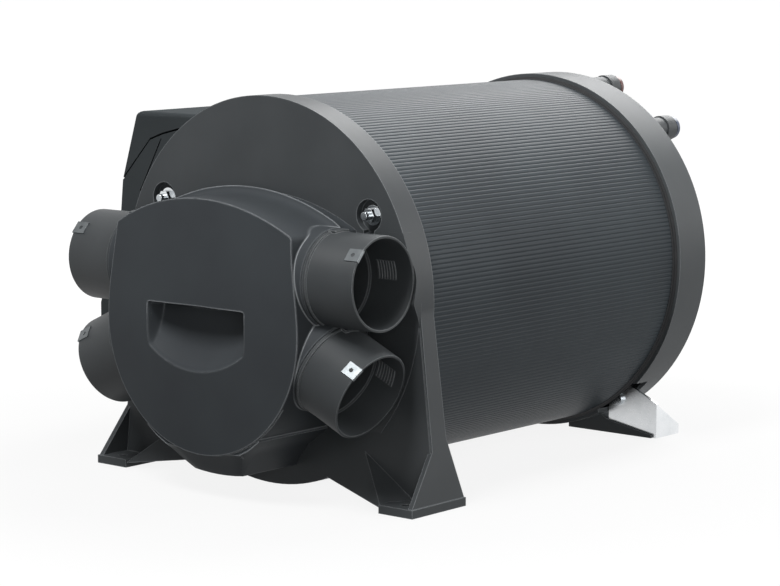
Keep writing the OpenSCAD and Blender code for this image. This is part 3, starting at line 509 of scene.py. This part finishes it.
def hood_holds(x, z):
    """Whether a place lies in the hood's outline: a round foot, leaning sides and an arched top."""
    side_z = HOOD_ROUND_R * math.sin(HOOD_LEAN) + HOOD_ROUND_Z
    if x * x + (z - HOOD_TOP + HOOD_ARC_R) ** 2 > HOOD_ARC_R ** 2:
        return False
    if z > side_z:
        return abs(x) <= HOOD_ROUND_R * math.cos(HOOD_LEAN) - (z - side_z) * math.tan(HOOD_LEAN)
    return x * x + (z - HOOD_ROUND_Z) ** 2 <= HOOD_ROUND_R ** 2


def grip_holds(x, z):
    """Whether a place lies in the grip's outline: a straight top and sides and an arched foot."""
    if abs(x) > GRIP_HALF or z > GRIP_TOP:
        return False
    drop = math.sqrt(GRIP_ARC_R ** 2 - x * x) - math.sqrt(GRIP_ARC_R ** 2 - GRIP_HALF ** 2)
    return z >= GRIP_SIDE_LOW - drop


def edge_loop(holds, soften):
    """The edge of a flat shape, seen from the grip's middle, with its corners rounded over some points."""
    middle_x, middle_z = GRIP_MIDDLE
    loop = []
    for i in range(HOOD_POINTS):
        turn = 2 * math.pi * i / HOOD_POINTS
        near = 0.0
        far = SEARCH_REACH
        for _ in range(SEARCH_HALVINGS):
            half = (near + far) / 2
            if holds(middle_x + half * math.cos(turn), middle_z + half * math.sin(turn)):
                near = half
            else:
                far = half
        loop.append(Vector((middle_x + near * math.cos(turn), middle_z + near * math.sin(turn))))
    span = range(-soften, soften + 1)
    return [sum((loop[(i + k) % HOOD_POINTS] for k in span), Vector((0, 0))) / len(span)
            for i in range(HOOD_POINTS)]


def outward(loop):
    """The outward direction at each point of a loop."""
    ways = []
    for i in range(HOOD_POINTS):
        along = (loop[(i + 1) % HOOD_POINTS] - loop[i - 1]).normalized()
        ways.append(Vector((along.y, -along.x)))
    return ways


def dome_y(x, z):
    """The depth of the hood's domed face."""
    reach = x * x + (z - HOOD_ROUND_Z) ** 2
    return HOOD_DOME_R - HOOD_DEPTH - math.sqrt(HOOD_DOME_R ** 2 - reach)


def scooped_y(x, z, inside):
    """The face with the grip's scoop, swept about the arc of its foot. inside is mm from the grip's edge."""
    arc_z = GRIP_SIDE_LOW + math.sqrt(GRIP_ARC_R ** 2 - GRIP_HALF ** 2)
    ahead = SCOOP_R - SCOOP_DEPTH
    middle_r = GRIP_ARC_R - math.sqrt(SCOOP_R ** 2 - ahead ** 2)
    reach = math.hypot(x, z - arc_z) - middle_r
    scoop = SCOOP_SET - HOOD_DEPTH - ahead + math.sqrt(max(SCOOP_R ** 2 - reach ** 2, 0.0))
    face = dome_y(x, z)
    return face + max(scoop - face, 0.0) * ease_step((inside - GRIP_EASE_START) / GRIP_EASE_RUN)


def hood_side(hood_edge, face_edge, edge_y):
    """Rows of the hood's outside, from the plate over the top lip and along the sides to the face's rim."""
    rows = [[(p, HOOD_BACK) for p in hood_edge]]
    # the top lip is hollowed out in front and falls away to the plate behind
    for y, rise in TOP_LIP:
        rows.append([(p + way * rise * ease_step((p.y - LIP_LOW) / LIP_RUN), y)
                     for p, way in zip(hood_edge, outward(hood_edge))])
    lip_front = TOP_LIP[-1][0]
    for step in range(1, SIDE_STEPS + 1):
        share = step / SIDE_STEPS
        rows.append([(p + (q - p) * share, lip_front + (y + HOOD_EDGE_R + SIDE_END - lip_front) * share)
                     for p, q, y in zip(hood_edge, face_edge, edge_y)])
    rim = list(zip(face_edge, outward(face_edge), edge_y))
    # the groove leaves a lip that stands out over the keel
    for behind, sink in LOW_GROOVE:
        rows.append([(p - way * sink * ease_step((GROOVE_TOP - p.y) / GROOVE_RUN), y + HOOD_EDGE_R + behind)
                     for p, way, y in rim])
    for step in range(EDGE_STEPS + 1):
        bend = math.radians(90 * step / EDGE_STEPS)
        rows.append([(p - way * HOOD_EDGE_R * (1 - math.cos(bend)), y + HOOD_EDGE_R * (1 - math.sin(bend)))
                     for p, way, y in rim])
    return rows


def hood_face(rim, grip_edge):
    """Rows of the hood's face, from its rim to the grip, over the grip's edge and down into the scoop."""
    middle = Vector(GRIP_MIDDLE)
    rows = []
    for share in FACE_SHARES:
        spots = [p + (q - p) * share for p, q in zip(rim, grip_edge)]
        rows.append([(p, dome_y(p.x, p.y)) for p in spots])
    for inside in GRIP_INSIDES:
        spots = [middle + (q - middle) * (1 - inside / (q - middle).length) for q in grip_edge]
        rows.append([(p, scooped_y(p.x, p.y, inside)) for p in spots])
    well_edge = [p for p, y in rows[-1]]
    for share in WELL_SHARES:
        spots = [middle + (p - middle) * share for p in well_edge]
        rows.append([(p, scooped_y(p.x, p.y, WELL_INSIDE)) for p in spots])
    return rows


def hood_inside(front, hood_edge, face_edge, edge_y):
    """Rows of the hood's inside, behind the face from scoop to rim and along the sides to the plate."""
    rows = [[(p, y + HOOD_WALL) for p, y in row] for row in reversed(front)]
    for sink, behind in INNER_CORNER:
        rows.append([(p - way * (HOOD_WALL + sink), y + HOOD_WALL + behind)
                     for p, way, y in zip(face_edge, outward(face_edge), edge_y)])
    corner = HOOD_WALL + INNER_CORNER[-1][1]
    for step in range(1, SIDE_STEPS + 1):
        share = step / SIDE_STEPS
        rows.append([(q + (p - q) * share - way * HOOD_WALL, (y + corner) * (1 - share) + HOOD_BACK * share)
                     for p, q, way, y in zip(hood_edge, face_edge, outward(hood_edge), edge_y)])
    return rows


def outlet_axis(side, low):
    """The frame of an outlet: its local Z points out of the mouth and local X down its side."""
    x, z = LOWER_SEAT if low else UPPER_SEAT
    tilt = LOWER_TILT if low else 0.0
    out = Vector((side * math.cos(tilt), 0, -math.sin(tilt)))
    down = Vector((-side * math.sin(tilt), 0, -math.cos(tilt)))
    turn = Matrix((down, out.cross(down), out)).transposed().to_4x4()
    return Matrix.Translation(at_drum(side * x, OUTLET_Y, z)) @ turn


def in_hole(spot):
    """Whether a place in an outlet's frame lies in the opening from the hood into the outlet."""
    return math.hypot(spot.x, spot.y) < HOLE_R * MM and HOLE_Z[0] * MM < spot.z < HOLE_Z[1] * MM


def hood_shell():
    """The hood's skin, outside and inside, with the openings into the outlets."""
    hood_edge = edge_loop(hood_holds, 1)
    face_edge = [Vector((p.x * (1 - FACE_TAPER * ease_step((p.y - TAPER_LOW) / TAPER_RUN)), p.y))
                 for p in hood_edge]
    edge_y = [dome_y(*(p - way * HOOD_EDGE_R)) for p, way in zip(face_edge, outward(face_edge))]
    sides = hood_side(hood_edge, face_edge, edge_y)
    front = hood_face([p for p, y in sides[-1]], edge_loop(grip_holds, 2))
    inside = hood_inside(front, hood_edge, face_edge, edge_y)
    shape = bmesh.new()
    outer, inner = [[[shape.verts.new(at_drum(p.x, y, p.y)) for p, y in row] for row in rows]
                    for rows in (sides + front, inside)]
    join_rows(shape, inner + outer)
    shape.faces.new(outer[-1])
    shape.faces.new(inner[0])
    holes = [outlet_axis(side, low).inverted() for side in (1, -1) for low in (False, True)]
    gone = [face for face in shape.faces if any(in_hole(hole @ face.calc_center_median()) for hole in holes)]
    bmesh.ops.delete(shape, geom=gone, context="FACES")
    return shape


def add_keel(shape):
    """The keel under the hood: a sloped front, a rounded foot and two facets up to each side."""
    rows = []
    for y, rise in KEEL_ROWS:
        low = rise - KEEL_DROP
        share = rise / KEEL_SLOPE
        foot_x = KEEL_FOOT_HALF + KEEL_FOOT_SPREAD * share
        facet = (KEEL_FACET[0] + KEEL_FACET_SPREAD * share, max(KEEL_FACET[1], low + 0.5))
        flank = [*KEEL_FLANK, facet, (foot_x + 0.8, low + 0.9), (foot_x - 0.3, low)]
        foot = [(foot_x * part, low - KEEL_BULGE * (1 - part * part)) for part in KEEL_FOOT_PARTS]
        ring = [(-x, z) for x, z in flank] + foot + flank[::-1]
        rows.append([shape.verts.new(at_drum(x, y, z)) for x, z in ring])
    join_rows(shape, rows, closed=False)
    shape.faces.new(rows[-1])


def collar_profile(depth, end):
    """The collar that an outlet stands in, down to a depth and up to its end, with a rounded edge."""
    return [(COLLAR_R, -depth), (COLLAR_R, end - 0.9), (COLLAR_R - 0.25, end - 0.35), (COLLAR_R - 0.8, end),
            (COLLAR_BORE + 0.2, end), (COLLAR_BORE, end - 0.3), (COLLAR_BORE, -depth)]


hood = hood_shell()
add_keel(hood)
for collar_side in (1, -1):
    add_lathe(hood, outlet_axis(collar_side, False), collar_profile(UPPER_COLLAR, -UPPER_BASE))
    add_lathe(hood, outlet_axis(collar_side, True), collar_profile(LOWER_COLLAR, -LOWER_BASE))
bmesh.ops.recalc_face_normals(hood, faces=hood.faces)
place_piece("air_hood_shell", take_mesh(hood, "air_hood_shell"), "air_hood", crease=40)


# Outlets: a tube on a base ring, with a lug at its top and foot and a ribbed pad inside the mouth.

def add_lug(shape, axis, turn, base):
    """A snap lug on the base ring, narrower at its outer end."""
    rows = []
    for height, width, reach in LUG_SECTIONS:
        bends = [turn + across * width / LUG_R for across in (-1, -0.5, 0, 0.5, 1)]
        section = [(reach, bend) for bend in bends] + [(LUG_BORE, bend) for bend in reversed(bends)]
        rows.append([shape.verts.new(about_axis(axis, r, bend, base + height)) for r, bend in section])
    join_rows(shape, rows)
    shape.faces.new(rows[0])
    shape.faces.new(rows[-1])


def add_pad(shape, axis, low_end, high_end):
    """Ribs along the inside of the mouth that hold the duct."""
    heights = []
    rib = low_end
    while rib < high_end:
        heights.extend([(rib + along, rise) for along, rise in RIB_SECTION])
        rib += RIB_PITCH
    heights.append((heights[-1][0] + 0.2, -0.1))
    rows = []
    for height, rise in heights:
        row = []
        for k in range(PAD_STEPS, -1, -1):
            bend = math.radians(PAD_START + PAD_SPAN * k / PAD_STEPS)
            r = DUCT_R + 0.1 - (rise if 0 < k < PAD_STEPS else 0.0)
            row.append(shape.verts.new(about_axis(axis, r, bend, height)))
        rows.append(row)
    join_rows(shape, rows, closed=False)


def outlet_tube(node, side, low):
    """An outlet: its plug in the collar, base ring, tube with a rounded mouth, inner stop, lugs and pad."""
    axis = outlet_axis(side, low)
    end = LOWER_LEN if low else UPPER_LEN
    base = -LOWER_BASE if low else 0.0
    plug = LOWER_PLUG if low else UPPER_PLUG
    plug_and_base = [
        (OUTLET_R, -plug), (OUTLET_R, base), (OUTLET_BASE_R, base + 0.05), (OUTLET_BASE_R + 0.1, base + 0.5),
        (OUTLET_BASE_R + 0.1, base + 2.5), (OUTLET_BASE_R - 0.3, base + 3.0), (OUTLET_R + 0.15, base + 3.1),
        (OUTLET_R, base + 3.4)]
    mouth = [
        (OUTLET_R, end - 0.7), (OUTLET_R - 0.25, end - 0.2), (OUTLET_R - 0.7, end), (DUCT_R + 0.6, end),
        (DUCT_R + 0.2, end - 0.2), (DUCT_R, end - 0.6)]
    inner_stop = [
        (DUCT_R, 7.0), (DUCT_R - 0.2, 6.3), (DUCT_R - 0.8, 6.0), (STOP_R + 0.5, 6.0), (STOP_R + 0.1, 5.7),
        (STOP_R, 5.0), (STOP_R, -plug)]
    shape = bmesh.new()
    add_lathe(shape, axis, plug_and_base + mouth + inner_stop, steps=128)
    for turn in (0.0, math.pi):
        add_lug(shape, axis, turn, base)
    bmesh.ops.recalc_face_normals(shape, faces=shape.faces)
    add_pad(shape, axis, *(LOWER_PAD if low else UPPER_PAD))
    place_piece(node + "_tube", take_mesh(shape, node + "_tube"), node, crease=35)


for place, tube_side in (("right", 1), ("left", -1)):
    outlet_tube("duct_outlet_upper_" + place, tube_side, False)
    outlet_tube("duct_outlet_lower_" + place, tube_side, True)


# Rear seal: a rubber ring whose lip closes the step between the jacket and the rear ring. The black lip over
# the ring's front face is partly seal and partly painted shade of the step.

SEAL_BAND = [(JACKET_R + 0.5, 0.0), (JACKET_R + 0.5, 3.6), (JACKET_R + 0.1, 4.0), (JACKET_R - 3, 4.0),
             (JACKET_R - 3, 0.0)]
# The lip covers the ring's front face in black: the seal, and painted shade of the step.
SEAL_LIP_AND_SHADE = [(JACKET_R + 0.2, 0.05), (JACKET_R + 2.0, 0.05), (JACKET_R + 2.2, 0.4), (JACKET_R + 1.8, 0.9),
            (JACKET_R + 0.2, 1.6)]
seal = bmesh.new()
seal_axis = Matrix.Translation(at_drum(0, RING_Y, 0)) @ Matrix.Rotation(math.radians(90), 4, "X")
for seal_profile in (SEAL_BAND, SEAL_LIP_AND_SHADE):
    add_lathe(seal, seal_axis, seal_profile, steps=192)
bmesh.ops.recalc_face_normals(seal, faces=seal.faces)
place_piece("rear_seal_lip_and_shade", take_mesh(seal, "rear_seal_lip_and_shade"), "rear_seal")


# Front housing: cheeks beside the outlets carry the plate on to its rim, with a trough for each outlet.

def trough_y(x, z, seat, tilt, length):
    """How deep an outlet's trough is at a place on the plate, from the outlet's own radius and run."""
    along = (x - seat[0]) * math.cos(tilt) - (z - seat[1]) * math.sin(tilt)
    aside = (x - seat[0]) * math.sin(tilt) + (z - seat[1]) * math.cos(tilt)
    r = COLLAR_R + TROUGH_GAP - TROUGH_NARROWS * ease_step(along / TROUGH_RUN)
    floor_y = OUTLET_Y + math.sqrt(max(r * r - aside * aside, 0.0))
    return floor_y * (1 - ease_step((along - length - 0.5) / TROUGH_RUN))


def cheek_y(x, z):
    """The cheek's face: level with the plate beside the upper outlet and nearly pocket-deep below it."""
    face = (POCKET_DEPTH - CHEEK_SET) * (1 - ease_step((z - CHEEK_TURN) / CHEEK_RISE))
    face -= LEDGE_COVER * ease_step((z - LEDGE_LOW) / LEDGE_RUN)
    face = max(face, trough_y(x, z, UPPER_SEAT, 0.0, UPPER_LEN),
               trough_y(x, z, LOWER_SEAT, LOWER_TILT, LOWER_LEN))
    if z > POCKET_TOP:
        ending = ease_step((LEDGE_X - x) / LEDGE_RUN)
    else:
        foot = ease_step((CHEEK_LOW + CHEEK_FADE_LOW - z) / CHEEK_FADE_LOW)
        inner = ease_step((CHEEK_X + CHEEK_FADE_SIDE - x) / CHEEK_FADE_SIDE)
        ending = max(foot, inner * ease_step((INNER_TOP - z) / INNER_RUN))
    return min(face + (CHEEK_BACK - face) * ending, CHEEK_BACK)


def cheek(name, side, low, high, sunk, skin):
    """A cheek from a low to a high level, as rows of sections. sunk sets its top behind the other cheek."""
    rows = []
    steps = round((high - low) / CHEEK_ROW)
    for i in range(steps + 1):
        z = low + (high - low) * i / steps
        rim_x = math.sqrt(PLATE_R ** 2 - z * z)
        across = [CHEEK_X + (rim_x - CHEEK_X) * k / CHEEK_COLUMNS for k in range(CHEEK_COLUMNS + 1)]
        section = [(x, cheek_y(x, z) + sunk * ease_step((z - CHEEK_TURN) / SUNK_RUN)) for x in across]
        section += [(rim_x, POCKET_DEPTH + RIM_LAP_DEPTH), (rim_x - RIM_LAP, POCKET_DEPTH + RIM_LAP_DEPTH),
                    (rim_x - RIM_LAP, POCKET_DEPTH + CHEEK_SET), (CHEEK_X, POCKET_DEPTH + CHEEK_SET)]
        rows.append([at_drum(side * x, y, z) for x, y in section])
    piece = place_piece(name, loft(rows, cap_ends=True), "front_housing", crease=0, skin=skin)
    ease_edges(piece, CHEEK_EASE)


for place, cheek_side in (("right", 1), ("left", -1)):
    cheek("upper_cheek_" + place, cheek_side, UPPER_CHEEK_LOW, POCKET_TOP + CHEEK_LAP, 0.0, cheek_abs)
    cheek("lower_cheek_" + place, cheek_side, CHEEK_LOW, LOWER_CHEEK_TOP, CHEEK_SUNK, housing_abs)


def thin_soles(shape):
    """Lowers the top of the front feet's soles."""
    for corner in shape.verts:
        if abs(corner.co.z - SOLE_TOP * MM) < SOLE_NEAR * MM:
            corner.co.z = SOLE_SHOWN * MM


eased("front_housing", MOULDED_EASE, trim=thin_soles)
for eased_node, eased_radius in EASED_RADIUS.items():
    eased(eased_node, eased_radius)


# Service lid: it stands off the box by a dark seam, and its top is rounded over to the front and outside.

def round_lid(shape):
    """Raises the lid and its top, and rounds the level edges at the top's front and outside."""
    for corner in shape.verts:
        corner.co.z += (LID_RISE if corner.co.z > (LID_TOP - LID_NEAR) * MM else LID_SEAM) * MM
    crown = [edge for edge in shape.edges if all(
        end.co.z > LID_TOP * MM and (end.co.y < (LID_FRONT + LID_NEAR) * MM or end.co.x < LID_OUTER * MM)
        for end in edge.verts)]
    level = []
    for edge in crown:
        here, there = [end.co for end in edge.verts]
        along_front = abs(here.y - there.y) < WELD_GAP
        if abs(here.z - there.z) < WELD_GAP and (along_front or here.x < LID_OUTER * MM):
            level.append(edge)
    bmesh.ops.bevel(shape, geom=level, offset=LID_ROUND * MM, segments=5, profile=0.5, affect="EDGES")


eased("service_lid", MOULDED_EASE, trim=round_lid)


# Studio, in metres

FLOOR_HALF = 30.0
FLOOR_MIDDLE = (0.0, 0.15, 0.0)
PHOTO_PLACE = (1.3745, -1.4714, 0.4199)
PHOTO_AIM = (0.01541, 0.138, 0.13658)


def seen_directly(tree):
    """1 for what the camera, a mirror or glass looks at, and 0 for light that bounces on."""
    ray = add_node(tree, "ShaderNodeLightPath").outputs
    first = add_node(tree, "ShaderNodeMath", {0: ray["Is Camera Ray"], 1: ray["Is Glossy Ray"]},
                     operation="MAXIMUM").outputs["Value"]
    return add_node(tree, "ShaderNodeMath", {0: first, 1: ray["Is Transmission Ray"]},
                    operation="MAXIMUM").outputs["Value"]


# White paper: it glows a little where it is looked at, so that it reads as white and keeps the soft shadow.
paper = bpy.data.materials.new("white_paper_floor")
paper.use_nodes = True
paper_tree = paper.node_tree
paper_tree.nodes.clear()
matt = add_node(paper_tree, "ShaderNodeBsdfDiffuse", {"Color": linear("#4c4c4c")}).outputs["BSDF"]
floor_place = add_node(paper_tree, "ShaderNodeTexCoord").outputs["Object"]
from_drum = add_node(paper_tree, "ShaderNodeVectorMath", {0: floor_place, 1: FLOOR_MIDDLE},
                     operation="DISTANCE").outputs["Value"]
whiter = add_node(paper_tree, "ShaderNodeMapRange", {
    "Value": from_drum, "From Min": 0.3, "From Max": 1.0, "To Min": 0.88, "To Max": 1.0}).outputs["Result"]
shown = add_node(paper_tree, "ShaderNodeMath", {0: whiter, 1: seen_directly(paper_tree)},
                 operation="MULTIPLY").outputs["Value"]
glow = add_node(paper_tree, "ShaderNodeEmission",
                {"Color": linear("#ffffff"), "Strength": shown}).outputs["Emission"]
whole = add_node(paper_tree, "ShaderNodeAddShader", {0: glow, 1: matt}).outputs["Shader"]
add_node(paper_tree, "ShaderNodeOutputMaterial", {"Surface": whole})
floor_mesh = bpy.data.meshes.new("floor")
floor_corners = [(x * FLOOR_HALF, y * FLOOR_HALF, 0) for x, y in ((-1, -1), (1, -1), (1, 1), (-1, 1))]
floor_mesh.from_pydata(floor_corners, [], [(0, 1, 2, 3)])
floor_mesh.materials.append(paper)
floor = bpy.data.objects.new("floor", floor_mesh)
bpy.context.scene.collection.objects.link(floor)

# The world is white where it is looked at and lights the object only a little.
world = bpy.data.worlds.new("studio")
bpy.context.scene.world = world
world.use_nodes = True
sky = world.node_tree
sky.nodes.clear()
dim = add_node(sky, "ShaderNodeBackground", {"Color": linear("#ffffff"), "Strength": 0.16})
white = add_node(sky, "ShaderNodeBackground", {"Color": linear("#ffffff"), "Strength": 1.0})
both = add_node(sky, "ShaderNodeMixShader", {
    "Fac": seen_directly(sky), 1: dim.outputs["Background"], 2: white.outputs["Background"]})
add_node(sky, "ShaderNodeOutputWorld", {"Surface": both.outputs["Shader"]})


def stand(name, thing, place, aim):
    """Stands a lamp or camera at a place, turned to its aim."""
    holder = bpy.data.objects.new(name, thing)
    holder.location = place
    holder.rotation_mode = "QUATERNION"
    holder.rotation_quaternion = (Vector(aim) - Vector(place)).to_track_quat("-Z", "Y")
    bpy.context.scene.collection.objects.link(holder)
    return holder


def softbox(name, place, aim, size, power):
    """A square softbox, with its power in watts."""
    lamp = bpy.data.lights.new(name, "AREA")
    lamp.size = size
    lamp.energy = power
    stand(name, lamp, place, aim)


softbox("front_top_box", (0.1, -1.0, 1.75), (0.0, 0.05, 0.15), 0.6, 36)
softbox("right_low_box", (1.6, -1.3, 0.3), (0.0, 0.05, 0.15), 1.0, 11)
softbox("rear_top_box", (-0.35, 1.9, 1.75), (0.0, 0.2, 0.2), 1.6, 50)
softbox("right_rear_box", (2.0, 1.7, 0.9), (0.0, 0.2, 0.15), 1.3, 36)

view = bpy.data.cameras.new("photo_camera")
view.lens = 124.0
view.sensor_width = 36.0
view.sensor_fit = "HORIZONTAL"
bpy.context.scene.camera = stand("photo_camera", view, PHOTO_PLACE, PHOTO_AIM)
bpy.context.scene.view_settings.view_transform = "Standard"
